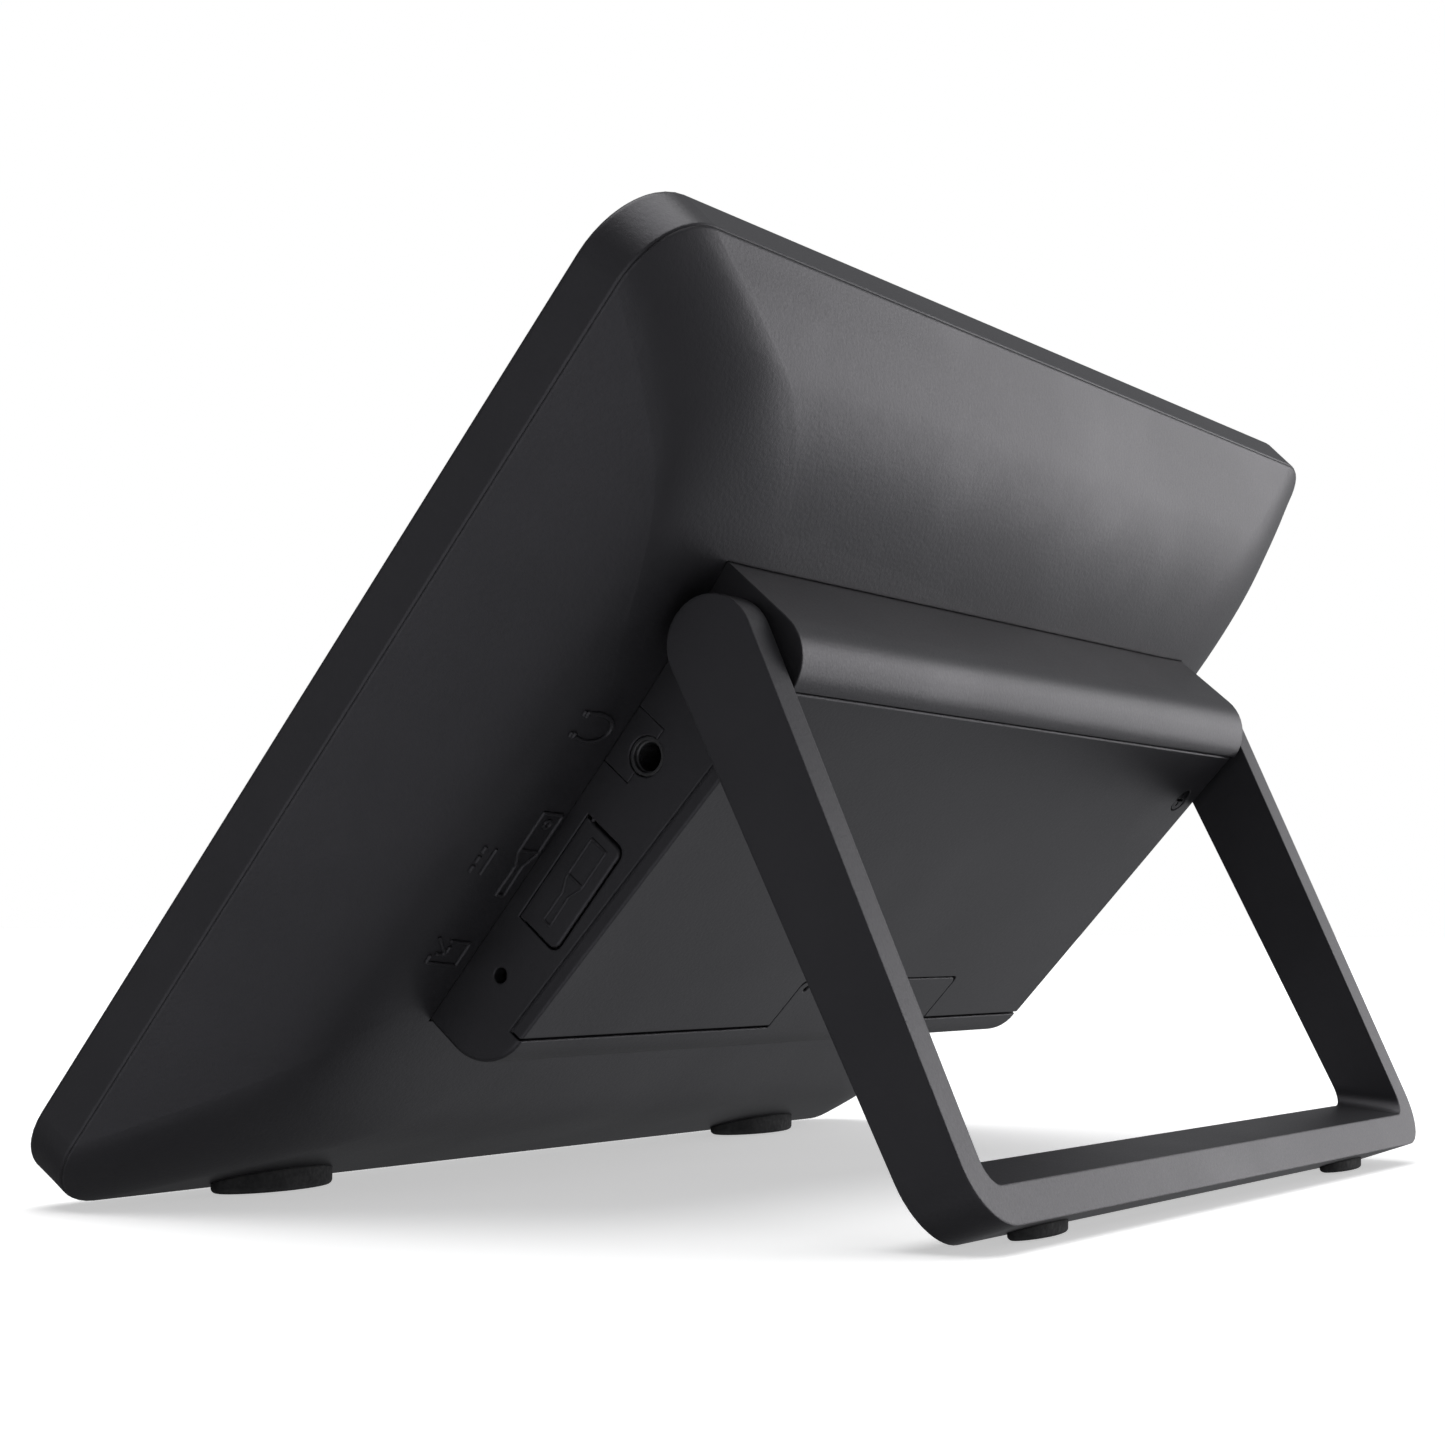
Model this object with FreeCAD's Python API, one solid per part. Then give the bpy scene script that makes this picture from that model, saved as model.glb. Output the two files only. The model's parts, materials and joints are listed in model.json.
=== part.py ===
import FreeCAD, Part
import math
import os

V = FreeCAD.Vector

# Digital photo frame: a leaning display slab, a raised housing on its back and a folding U stand.
# Every part is modelled with the slab upright: X across the slab, Y from its front face to the rear,
# Z up the slab from its lower edge. The finished parts are then leaned back onto the table.
# All lengths are in millimetres and all angles in degrees.

# ---- slab ----
FRAME_W = 203.0
FRAME_H = 150.0
CORNER_R = 10.9
BAND_DEPTH = 6.8
BAND_TAPER = 0.63
BAND_CHAMFER = 0.3
MID_Z = FRAME_H / 2.0
WALL = 2.2
LEDGE_FRONT = 1.9
LEDGE_BACK = 3.2

# ---- rear cover: straight banks rise from the band and bend softly into a slightly crowned middle ----
DOME_H = 15.0
DOME_TOP = 14.7
DOME_BEND = 3.0
DOME_RIM = 0.75
DOME_CORNER_R = 22.0
DOME_SECTIONS = 11
# each bank: its slope, the run from the rim to the crown's flat middle, and the crown's fall back to the rim
BANK_SIDE = (0.72, 39.0, 5.3)
BANK_TOP = (0.85, 60.0, 7.0)
BANK_BOTTOM = (0.7, 36.0, 5.3)

# ---- display stack ----
GLASS_W, GLASS_H = 198.2, 145.2
VIEW_W, VIEW_H = 163.4, 122.8
CELL_W, CELL_H = 174.0, 133.0
TRAY_W, TRAY_H = 174.4, 133.4
CHASSIS_W, CHASSIS_H = 183.0, 127.0
CHASSIS_Y = 8.3
CHASSIS_T = 0.8
BOSS_X = 89.4
BOSS_Z = (20.0, 75.0, 130.0)
RECEIVER_X, RECEIVER_Z = 92.0, 100.0

# ---- housing on the back ----
HOUSING_X = 69.8
HOUSING_BOTTOM_Z = 43.06
HOUSING_TOP_Z = 115.2
HOUSING_FOOT_Y = 16.0
HOUSING_WALL = 2.0
FLANGE = 2.5
FLANGE_TOP = 1.5
FLANGE_T = 1.6
FLANGE_TRIM_X = 11.6
FLANGE_TRIM_Z = 8.2
TOE_R = 7.4
TOE_Y = 26.46
TOE_Z = HOUSING_BOTTOM_Z + TOE_R
BULGE_R = 6.55
BULGE_Y = 30.9
BULGE_Z = 108.5
PLATE_Z0, PLATE_Z1 = 50.46, 108.45
PLATE_Y0, PLATE_Y1 = 33.86, 37.0
PLATE_T = 1.8
PLATE_GAP = 0.35
PLATE_SLOPE = (PLATE_Y1 - PLATE_Y0) / (PLATE_Z1 - PLATE_Z0)
NOTCH_X0, NOTCH_X1 = -36.6, 10.7
NOTCH_Z = 59.9
SEAM = 0.3
SERVICE_X = 50.0
SERVICE_Z0, SERVICE_Z1 = 63.0, 99.5
COVER_SCREW = (-64.4, 98.5)

# ---- sockets on the side of the housing ----
JACK_Y, JACK_Z = 25.9, 89.8
JACK_NOSE_R = 2.5
JACK_BORE_R = 1.8
JACK_BORE_DEPTH = 12.0
JACK_MOUTH_R = 2.03
JACK_MOUTH_DEPTH = 0.7
INSERT_Z0, INSERT_Z1 = 85.5, 94.0
FLAP_Z0, FLAP_Z1 = 62.4, 79.0
FLAP_Y0, FLAP_Y1 = 23.6, 31.1
FLAP_T = 1.2
FLAP_RECESS = 1.45
FLAP_GAP = 0.17
FLAP_WIDE_GAP = 0.45
FLAP_HEEL = 0.72
FLAP_AXIS_X = HOUSING_X - 0.5
FLAP_AXIS_Y = FLAP_Y0 + FLAP_GAP + FLAP_HEEL
FLAP_SWING_R = 0.88
FLAP_PIN_R = 0.3
INLET_Y, INLET_Z = 27.7, 70.7
RESET_Y, RESET_Z = 26.2, 54.9

# ---- main board ----
BOARD_Y0, BOARD_Y1 = 21.8, 23.4
BOARD_X = 64.5
BOARD_Z0, BOARD_Z1 = 48.5, 98.0
BOARD_SCREWS = ((-60.5, 51.5), (58.5, 60.8), (-56.5, 94.5), (50.0, 94.5))

# ---- stand ----
PIVOT_Y, PIVOT_Z = 27.9, 107.9
PIVOT_R = 6.0
ARM_X0, ARM_X1 = 71.4, 76.0
BAR_FRONT_LOW = (94.2, 72.9)
BAR_REAR_LOW = (98.5, 80.0)
BAR_FRONT_HEIGHT = 9.1
BAR_REAR_HEIGHT = 4.8
OUTER_CORNER_R = 8.0
INNER_CORNER_R = 3.0
ARM_EDGE_R = 0.5
PIN_R = 2.5
FIT = 0.05

# ---- lean and table ----
LEAN = 39.6
FOOT_Y, FOOT_Z = 10.7, 3.432
FOOTPRINT_MIDDLE = 63.63
SIN_LEAN = math.sin(math.radians(LEAN))
COS_LEAN = math.cos(math.radians(LEAN))
LIFT = FOOT_Y * SIN_LEAN - FOOT_Z * COS_LEAN


def place(shape):
    """Lean an upright shape back and stand it on the table, over the middle of the footprint."""
    leaned = shape.copy()
    leaned.rotate(V(0, 0, 0), V(1, 0, 0), -LEAN)
    leaned.translate(V(0, -FOOTPRINT_MIDDLE, LIFT))
    return leaned


def box(x0, x1, y0, y1, z0, z1):
    return Part.makeBox(x1 - x0, y1 - y0, z1 - z0, V(x0, y0, z0))


def rod_x(x0, x1, y, z, r):
    return Part.makeCylinder(r, x1 - x0, V(x0, y, z), V(1, 0, 0))


def rod_y(y0, y1, x, z, r):
    return Part.makeCylinder(r, y1 - y0, V(x, y0, z), V(0, 1, 0))


def rod_z(z0, z1, x, y, r):
    return Part.makeCylinder(r, z1 - z0, V(x, y, z0), V(0, 0, 1))


def tube_x(x0, x1, y, z, r, r_in):
    return rod_x(x0, x1, y, z, r).cut(rod_x(x0 - 1, x1 + 1, y, z, r_in))


def rounded_wire(x0, x1, z0, z1, r, y):
    """Closed rounded rectangle in the plane at depth y."""
    k = r * (1.0 - math.sqrt(0.5))
    corners = (
        (V(x1 - r, y, z0), V(x1 - k, y, z0 + k), V(x1, y, z0 + r)),
        (V(x1, y, z1 - r), V(x1 - k, y, z1 - k), V(x1 - r, y, z1)),
        (V(x0 + r, y, z1), V(x0 + k, y, z1 - k), V(x0, y, z1 - r)),
        (V(x0, y, z0 + r), V(x0 + k, y, z0 + k), V(x0 + r, y, z0)),
    )
    edges = []
    for index, (start, middle, end) in enumerate(corners):
        following = corners[(index + 1) % 4][0]
        edges.append(Part.Arc(start, middle, end).toShape())
        edges.append(Part.makeLine(end, following))
    return Part.Wire(edges)


def rounded_prism(w, h, r, y0, y1, x=0.0, z=MID_Z):
    wire = rounded_wire(x - w / 2.0, x + w / 2.0, z - h / 2.0, z + h / 2.0, r, y0)
    return Part.Face(wire).extrude(V(0, y1 - y0, 0))


def ring_prism(w, h, r, w_in, h_in, r_in, y0, y1):
    return rounded_prism(w, h, r, y0, y1).cut(rounded_prism(w_in, h_in, r_in, y0 - 1, y1 + 1))


def side_prism(points, x0, x1):
    """Prism along X over a closed polygon of (y, z) points."""
    corners = [V(x0, y, z) for y, z in points]
    wire = Part.makePolygon(corners + [corners[0]])
    return Part.Face(wire).extrude(V(x1 - x0, 0, 0))


def joined(shapes):
    """Separate solids of one node."""
    return Part.makeCompound(shapes)


def fused(first, *others):
    result = first
    for other in others:
        result = result.fuse(other)
    return result.removeSplitter()


def mirrored(shape):
    return shape.mirror(V(0, 0, 0), V(1, 0, 0))


def both_sides(shape):
    return joined([shape, mirrored(shape)])


def plate_y(z):
    """Depth of the outer face of the housing's back at height z."""
    return PLATE_Y0 + PLATE_SLOPE * (z - PLATE_Z0)


# ---- front frame and display stack ----
def front_frame():
    front = rounded_wire(-FRAME_W / 2.0, FRAME_W / 2.0, 0.0, FRAME_H, CORNER_R, 0.0)
    t = BAND_TAPER
    rear = rounded_wire(-FRAME_W / 2.0 + t, FRAME_W / 2.0 - t, t, FRAME_H - t, CORNER_R - t, BAND_DEPTH)
    band = Part.makeLoft([front, rear], True, True)
    rim = [e for e in band.Edges if max(abs(v.Point.y) for v in e.Vertexes) < 1e-6]
    band = band.makeFillet(0.8, rim)
    rear_rim = [e for e in band.Edges if min(v.Point.y for v in e.Vertexes) > BAND_DEPTH - 1e-6]
    band = band.makeChamfer(BAND_CHAMFER, rear_rim)
    band = band.cut(rounded_prism(GLASS_W + 0.4, GLASS_H + 0.4, 8.7, -1.0, LEDGE_FRONT))
    band = band.cut(rounded_prism(VIEW_W, VIEW_H, 1.0, LEDGE_FRONT - 1, LEDGE_BACK + 1))
    band = band.cut(rounded_prism(FRAME_W - 5.8, FRAME_H - 5.8, 8.0, LEDGE_BACK, BAND_DEPTH + 1))
    band = band.cut(rod_y(LEDGE_FRONT - 1, LEDGE_BACK + 1, RECEIVER_X, RECEIVER_Z, 1.8))
    bosses = []
    for x in (-BOSS_X, BOSS_X):
        for z in BOSS_Z:
            post = rod_y(LEDGE_BACK - 0.5, CHASSIS_Y, x, z, 2.1)
            bosses.append(post.cut(rod_y(LEDGE_BACK + 0.8, CHASSIS_Y + 1, x, z, 0.9)))
    for post in bosses:
        band = band.fuse(post)
    return band.removeSplitter()


def front_glass():
    return rounded_prism(GLASS_W, GLASS_H, 8.5, 0.35, 1.75)


def glass_tape():
    return ring_prism(196.0, 143.0, 7.4, 168.0, 127.4, 1.0, 1.75, LEDGE_FRONT)


def display_cell():
    return rounded_prism(CELL_W, CELL_H, 0.8, LEDGE_BACK, 4.6)


def optical_sheets():
    return rounded_prism(172.0, 131.0, 0.8, 4.6, 5.2)


def light_guide():
    return rounded_prism(172.0, 128.6, 0.6, 5.2, 7.6, z=MID_Z + 1.2)


def led_bar():
    return box(-80.0, 80.0, 5.3, 7.5, 8.9, 11.9)


def backlight_tray():
    tray = rounded_prism(TRAY_W, TRAY_H, 1.2, 4.6, CHASSIS_Y - 0.1)
    tray = tray.cut(rounded_prism(173.2, 132.2, 0.8, 4.0, 7.6))
    for x in (-50.0, 0.0, 50.0):
        tray = tray.fuse(box(x - 20.0, x + 20.0, 7.9, CHASSIS_Y, 74.0, 78.0))
    return tray.removeSplitter()


def chassis_plate():
    plate = rounded_prism(CHASSIS_W, CHASSIS_H, 6.0, CHASSIS_Y, CHASSIS_Y + CHASSIS_T)
    plate = plate.cut(rounded_prism(44.0, 4.0, 1.5, CHASSIS_Y - 1, CHASSIS_Y + 2, x=0.0, z=40.0))
    for x in (-BOSS_X, BOSS_X):
        for z in BOSS_Z:
            plate = plate.cut(rod_y(CHASSIS_Y - 1, CHASSIS_Y + 2, x, z, 1.15))
    for z in (52.0, 75.0, 98.0):
        rib = rounded_prism(120.0, 3.0, 1.4, CHASSIS_Y + CHASSIS_T, CHASSIS_Y + CHASSIS_T + 0.6, z=z)
        plate = plate.fuse(rib)
    return plate.removeSplitter()


def screw_y(x, z, y_head, head_r, head_t, shaft_r, length, toward):
    """Pan-head screw along Y with a cross slot; toward is +1 or -1, the way its shaft points."""
    seat = V(x, y_head, z)
    head = Part.makeCylinder(head_r, head_t, seat, V(0, -toward, 0))
    shaft = Part.makeCylinder(shaft_r, length + 0.2, V(x, y_head - 0.2 * toward, z), V(0, toward, 0))
    top = y_head - toward * head_t
    reach = 0.5 * head_t
    y0, y1 = sorted((top + toward * reach, top - toward))
    slot_a = box(x - head_r * 0.62, x + head_r * 0.62, y0, y1, z - 0.22, z + 0.22)
    slot_b = box(x - 0.22, x + 0.22, y0, y1, z - head_r * 0.62, z + head_r * 0.62)
    return head.fuse(shaft).cut(slot_a.fuse(slot_b)).removeSplitter()


def chassis_screws():
    seat = CHASSIS_Y + CHASSIS_T
    return joined([screw_y(x, z, seat, 1.9, 1.1, 0.88, 4.0, -1) for x in (-BOSS_X, BOSS_X) for z in BOSS_Z])


# ---- rear cover ----
def dome_height(run, bank):
    """Height above the rim: the bank's incline, bending softly into the crowned middle."""
    slope, full_run, fall = bank
    incline = run * slope
    crown = DOME_H - fall * (1.0 - run / full_run) ** 2
    return (incline + crown - math.hypot(incline - crown, DOME_BEND)) / 2.0


def run_at(height, bank):
    """Distance in from the rim at which a bank reaches a height, found by halving."""
    low, high = 0.0, bank[1]
    for _ in range(40):
        middle = (low + high) / 2.0
        if dome_height(middle, bank) < height:
            low = middle
        else:
            high = middle
    return low


def bank_inset(height, wall, bank):
    """Inset of a bank's face at a height; wall moves it inwards square to the incline."""
    slope = bank[0]
    shift = wall * (math.hypot(1.0, slope) - 1.0) / slope
    return DOME_RIM + run_at(height, bank) - run_at(0.0, bank) + shift


def dome(wall):
    """Solid dome behind the band, a wall's thickness inside the outer face."""
    sections = []
    for index in range(DOME_SECTIONS):
        inward = index / (DOME_SECTIONS - 1.0)
        height = wall + (DOME_TOP - wall) * (1.0 - (1.0 - inward) ** 2)
        half = FRAME_W / 2.0 - bank_inset(height, wall, BANK_SIDE)
        low = bank_inset(height, wall, BANK_BOTTOM)
        high = FRAME_H - bank_inset(height, wall, BANK_TOP)
        start_r = CORNER_R - DOME_RIM - wall
        radius = start_r + inward * (DOME_CORNER_R - start_r)
        sections.append(rounded_wire(-half, half, low, high, radius, BAND_DEPTH + height - wall))
    return Part.makeLoft(sections, True, False, False, 3)


def outer_dome():
    return dome(0.0)


def rear_cover():
    shell = outer_dome().cut(dome(WALL))
    shell = shell.cut(rounded_prism(TRAY_W + 1.0, TRAY_H + 1.0, 1.7, 4.0, 8.6))
    pocket_w = FRAME_W - 5.8
    pocket_h = FRAME_H - 5.8
    lip = ring_prism(pocket_w - 0.3, pocket_h - 0.3, 7.9, pocket_w - 3.2, pocket_h - 3.2, 6.5, 4.4, BAND_DEPTH)
    shell = shell.fuse(lip)
    opening = box(-HOUSING_X - 0.1, HOUSING_X + 0.1, 4.0, 30.0, HOUSING_BOTTOM_Z - 0.1, HOUSING_TOP_Z + 0.1)
    shell = shell.cut(opening)
    for x, z in housing_screw_places():
        floor = HOUSING_FOOT_Y + FLANGE_T
        boss = rod_y(floor, 19.8, x, z, 2.6)
        shell = shell.fuse(boss).cut(rod_y(floor - 1, 20.2, x, z, 0.9))
    return shell.removeSplitter()


def housing_screw_places():
    return [(side * 72.6, z) for side in (-1, 1) for z in (56.0, 76.0, 96.0)]


# ---- housing ----
def toe_arc_points():
    """Points of the round lower edge of the housing, from its underside to its back."""
    count = 14
    points = []
    for index in range(count + 1):
        angle = math.radians(90.0 * index / count)
        points.append((TOE_Y + TOE_R * math.sin(angle), TOE_Z - TOE_R * math.cos(angle)))
    return points


def housing_outline_wire(x):
    """Side outline of the housing, with true arcs for its round toe and its hinge bulge."""
    seat = plate_y(PLATE_Z0) - PLATE_T
    seat_top = plate_y(PLATE_Z1) - PLATE_T
    start = math.asin((BULGE_Z - PLATE_Z1 - 0.12) / BULGE_R)
    lip = V(x, BULGE_Y + BULGE_R * math.cos(start), BULGE_Z - BULGE_R * math.sin(start))
    half = V(x, BULGE_Y + BULGE_R * math.cos(math.radians(45)), BULGE_Z + BULGE_R * math.sin(math.radians(45)))
    crown = V(x, BULGE_Y, BULGE_Z + BULGE_R)
    toe_half = V(x, TOE_Y + TOE_R * math.sin(math.radians(45)), TOE_Z - TOE_R * math.cos(math.radians(45)))
    p = [
        V(x, HOUSING_FOOT_Y, HOUSING_BOTTOM_Z),
        V(x, TOE_Y, HOUSING_BOTTOM_Z),
        V(x, TOE_Y + TOE_R, TOE_Z),
        V(x, seat, PLATE_Z0),
        V(x, seat_top, lip.z),
    ]
    edges = [
        Part.makeLine(p[0], p[1]),
        Part.Arc(p[1], toe_half, p[2]).toShape(),
        Part.makeLine(p[2], p[3]),
        Part.makeLine(p[3], p[4]),
        Part.makeLine(p[4], lip),
        Part.Arc(lip, half, crown).toShape(),
        Part.makeLine(crown, V(x, 20.0, HOUSING_TOP_Z)),
        Part.makeLine(V(x, 20.0, HOUSING_TOP_Z), V(x, HOUSING_FOOT_Y, HOUSING_TOP_Z)),
        Part.makeLine(V(x, HOUSING_FOOT_Y, HOUSING_TOP_Z), p[0]),
    ]
    return Part.Wire(edges)


def housing_cavity():
    back0 = plate_y(PLATE_Z0) - PLATE_T - 1.6
    back1 = plate_y(PLATE_Z1) - PLATE_T - 1.6
    low = HOUSING_BOTTOM_Z + HOUSING_WALL
    points = [
        (HOUSING_FOOT_Y - 1, low),
        (26.0, low),
        (back0, 49.5),
        (back1, 108.0),
        (35.0, 109.2),
        (35.0, 111.5),
        (33.0, 113.1),
        (HOUSING_FOOT_Y - 1, 113.1),
    ]
    inner_x = HOUSING_X - HOUSING_WALL
    return side_prism(points, -inner_x, inner_x)


def housing_flange():
    """Thin rim inside the rear cover, with screw ears and its two upper corners cut off."""
    half = HOUSING_X + FLANGE
    low = HOUSING_BOTTOM_Z - FLANGE
    top = HOUSING_TOP_Z + FLANGE_TOP
    corners = [
        (-half, low),
        (half, low),
        (half, top - FLANGE_TRIM_Z),
        (half - FLANGE_TRIM_X, top),
        (-half + FLANGE_TRIM_X, top),
        (-half, top - FLANGE_TRIM_Z),
    ]
    wire = Part.makePolygon([V(x, HOUSING_FOOT_Y, z) for x, z in corners + corners[:1]])
    outline = Part.Face(wire).extrude(V(0, FLANGE_T, 0))
    for x, z in housing_screw_places():
        inner = math.copysign(HOUSING_X, x)
        x0, x1 = sorted((inner, x))
        ear = box(x0, x1, HOUSING_FOOT_Y, HOUSING_FOOT_Y + FLANGE_T, z - 2.6, z + 2.6)
        tip = rod_y(HOUSING_FOOT_Y, HOUSING_FOOT_Y + FLANGE_T, x, z, 2.6)
        outline = outline.fuse(ear).fuse(tip)
    for x, z in housing_screw_places():
        outline = outline.cut(rod_y(HOUSING_FOOT_Y - 1, HOUSING_FOOT_Y + 3, x, z, 1.15))
    return outline


def module_housing():
    body = Part.Face(housing_outline_wire(-HOUSING_X)).extrude(V(2 * HOUSING_X, 0, 0))
    pad_points = [
        (30.0, PLATE_Z0 - 0.3),
        (plate_y(PLATE_Z0) - 0.02, PLATE_Z0 - 0.3),
        (plate_y(NOTCH_Z - PLATE_GAP), NOTCH_Z - PLATE_GAP),
        (30.0, NOTCH_Z - PLATE_GAP),
    ]
    pad = side_prism(pad_points, NOTCH_X0 + PLATE_GAP, NOTCH_X1 - PLATE_GAP)
    pad = pad.makeFillet(1.2, [e for e in pad.Edges if is_notch_corner(e, NOTCH_Z - PLATE_GAP)])
    body = body.fuse(pad).removeSplitter()
    toe = [e for e in body.Edges if is_toe_edge(e)]
    body = body.makeFillet(0.6, toe)
    body = body.fuse(housing_flange()).removeSplitter()
    body = body.cut(housing_cavity())
    for side in (-1, 1):
        x0, x1 = sorted((side * 49.5, side * 55.4))
        block = box(x0, x1, 19.2, 33.8, 102.5, 113.4)
        body = body.fuse(block)
    for x, z in BOARD_SCREWS:
        body = body.fuse(rod_y(BOARD_Y1, plate_y(z) - PLATE_T - 0.8, x, z, 2.6))
    x, z = COVER_SCREW
    body = body.fuse(rod_y(26.0, plate_y(z) - PLATE_T - 0.8, x, z, 2.7))
    body = body.removeSplitter()
    for tool in housing_cuts():
        body = body.cut(tool)
    return body.removeSplitter()


def is_toe_edge(edge):
    """The two curved ends of the round lower edge."""
    if edge.Curve.TypeId != "Part::GeomCircle":
        return False
    return abs(edge.Curve.Radius - TOE_R) < 1e-6 and abs(abs(edge.Vertexes[0].Point.x) - HOUSING_X) < 1e-6


def housing_cuts():
    """Every opening in the housing: service opening, sockets, slots, pilot and hinge holes."""
    inner = HOUSING_X - HOUSING_WALL
    cuts = [box(-SERVICE_X, 46.0, 25.0, 40.0, SERVICE_Z0, SERVICE_Z1 - 9.0)]
    seam_points = [
        (plate_y(PLATE_Z0) - PLATE_T - SEAM, PLATE_Z0),
        (plate_y(PLATE_Z0) - PLATE_T + 0.1, PLATE_Z0),
        (plate_y(PLATE_Z1) - PLATE_T + 0.1, PLATE_Z1),
        (plate_y(PLATE_Z1) - PLATE_T - SEAM, PLATE_Z1),
    ]
    cuts.append(side_prism(seam_points, HOUSING_X - SEAM, HOUSING_X + 1))
    cuts.append(side_prism(seam_points, -HOUSING_X - 1, -HOUSING_X + SEAM))
    cuts.append(box(-48.0, 38.0, 25.0, 40.0, SERVICE_Z1 - 9.5, SERVICE_Z1))
    cuts.append(rod_x(inner - 0.5, HOUSING_X + 1, JACK_Y, JACK_Z, JACK_NOSE_R + 0.1))
    cuts.append(box(inner - 0.5, HOUSING_X + 1, HOUSING_FOOT_Y + FLANGE_T + 3.0, JACK_Y, INSERT_Z0, INSERT_Z1))
    cuts.append(flap_recess())
    cuts.append(box(inner - 0.5, HOUSING_X + 1, INLET_Y - 2.9, INLET_Y + 2.9, INLET_Z - 5.4, INLET_Z + 5.4))
    cuts.append(rod_z(FLAP_Z0 - 1.1, FLAP_Z1 + 1.1, FLAP_AXIS_X, FLAP_AXIS_Y, FLAP_PIN_R + FIT))
    cuts.append(rod_x(inner - 1, HOUSING_X + 1, RESET_Y, RESET_Z, 1.03))
    cuts.append(box(-HOUSING_X - 1, -inner + 1, 24.5, 27.1, 58.0, 82.6))
    for z in (86.0, 88.4, 90.8, 93.2):
        cuts.append(box(-HOUSING_X - 1, -inner + 1, 25.4, 30.4, z, z + 1.1))
    for side in (-1, 1):
        x0, x1 = sorted((side * (inner - 1), side * (HOUSING_X + 1)))
        cuts.append(rod_x(x0, x1, PIVOT_Y, PIVOT_Z, PIN_R + 0.3))
        for z in (105.0, 110.4):
            cuts.append(rod_y(18.0, 24.4, side * 53.2, z, 0.9))
    for x, z in BOARD_SCREWS:
        cuts.append(rod_y(BOARD_Y1 - 1, BOARD_Y1 + 4.2, x, z, 0.9))
    x, z = COVER_SCREW
    cuts.append(rod_y(28.0, 40.0, x, z, 1.06))
    for x, z in plate_peg_places():
        cuts.append(rod_y(29.0, 40.0, x, z, 1.6))
    cuts.append(rod_y(31.0, 40.0, 8.4, 58.2, 0.6))
    return cuts


def flap_recess():
    """Pocket for the port flap; its rear corners are rounded like the flap's."""
    x0 = HOUSING_X - FLAP_RECESS
    recess = box(x0, HOUSING_X + 1, FLAP_Y0, FLAP_Y1, FLAP_Z0, FLAP_Z1)
    corners = [e for e in recess.Edges if is_rear_corner(e, FLAP_Y1)]
    return recess.makeFillet(1.5, corners)


def is_rear_corner(edge, y):
    """Edges along X that lie at depth y."""
    a = edge.Vertexes[0].Point
    b = edge.Vertexes[-1].Point
    return abs(a.y - y) < 1e-6 and abs(b.y - y) < 1e-6 and abs(a.z - b.z) < 1e-6


def housing_screws():
    seat = HOUSING_FOOT_Y
    return joined([screw_y(x, z, seat, 1.9, 1.2, 0.88, 3.6, 1) for x, z in housing_screw_places()])


def plate_peg_places():
    return ((-63.0, 60.0), (63.0, 67.0), (60.0, 100.5))


def cover_plate():
    z0, z1 = PLATE_Z0 + PLATE_GAP, PLATE_Z1 - PLATE_GAP
    points = [
        (plate_y(z0) - PLATE_T, z0),
        (plate_y(z0), z0 + 0.05),
        (plate_y(z1), z1),
        (plate_y(z1) - PLATE_T, z1),
    ]
    plate = side_prism(points, -HOUSING_X, HOUSING_X)
    rear = [e for e in plate.Edges if is_plate_rim(e)]
    plate = plate.makeFillet(0.35, rear)
    notch = box(NOTCH_X0, NOTCH_X1, 30.0, 40.0, PLATE_Z0 - 1.0, NOTCH_Z)
    corners = [e for e in notch.Edges if is_notch_corner(e, NOTCH_Z)]
    plate = plate.cut(notch.makeFillet(1.2, corners))
    x, z = COVER_SCREW
    plate = plate.cut(rod_y(30.0, 40.0, x, z, 1.2))
    plate = plate.cut(rod_y(plate_y(z) - 1.1, 40.0, x, z, 2.15))
    for x, z in plate_peg_places():
        plate = plate.fuse(rod_y(plate_y(z) - PLATE_T - 1.5, plate_y(z) - 0.6, x, z, 1.5))
    return plate.removeSplitter()


def is_plate_rim(edge):
    """Edges of the plate's outer face."""
    a = edge.Vertexes[0].Point
    b = edge.Vertexes[-1].Point
    outer = abs(a.y - plate_y(a.z)) < 0.02 and abs(b.y - plate_y(b.z)) < 0.02
    return outer


def is_notch_corner(edge, z):
    """Edges along Y at height z."""
    a = edge.Vertexes[0].Point
    b = edge.Vertexes[-1].Point
    return abs(a.z - z) < 1e-6 and abs(b.z - z) < 1e-6 and abs(a.x - b.x) < 1e-6


def cover_screw():
    x, z = COVER_SCREW
    return screw_y(x, z, plate_y(z) - 1.1, 1.95, 0.95, 0.98, 6.2, -1)


# ---- sockets ----
def headphone_jack():
    inner = HOUSING_X - HOUSING_WALL
    body = box(inner - 13.0, inner - 0.1, BOARD_Y1, BOARD_Y1 + 5.2, JACK_Z - 3.4, JACK_Z + 3.4)
    nose = rod_x(inner - 0.5, HOUSING_X - 0.25, JACK_Y, JACK_Z, JACK_NOSE_R)
    body = body.fuse(nose).removeSplitter()
    body = body.cut(rod_x(HOUSING_X - 0.25 - JACK_BORE_DEPTH, HOUSING_X, JACK_Y, JACK_Z, JACK_BORE_R))
    return body.cut(rod_x(HOUSING_X - 0.25 - JACK_MOUTH_DEPTH, HOUSING_X, JACK_Y, JACK_Z, JACK_MOUTH_R))


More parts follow.
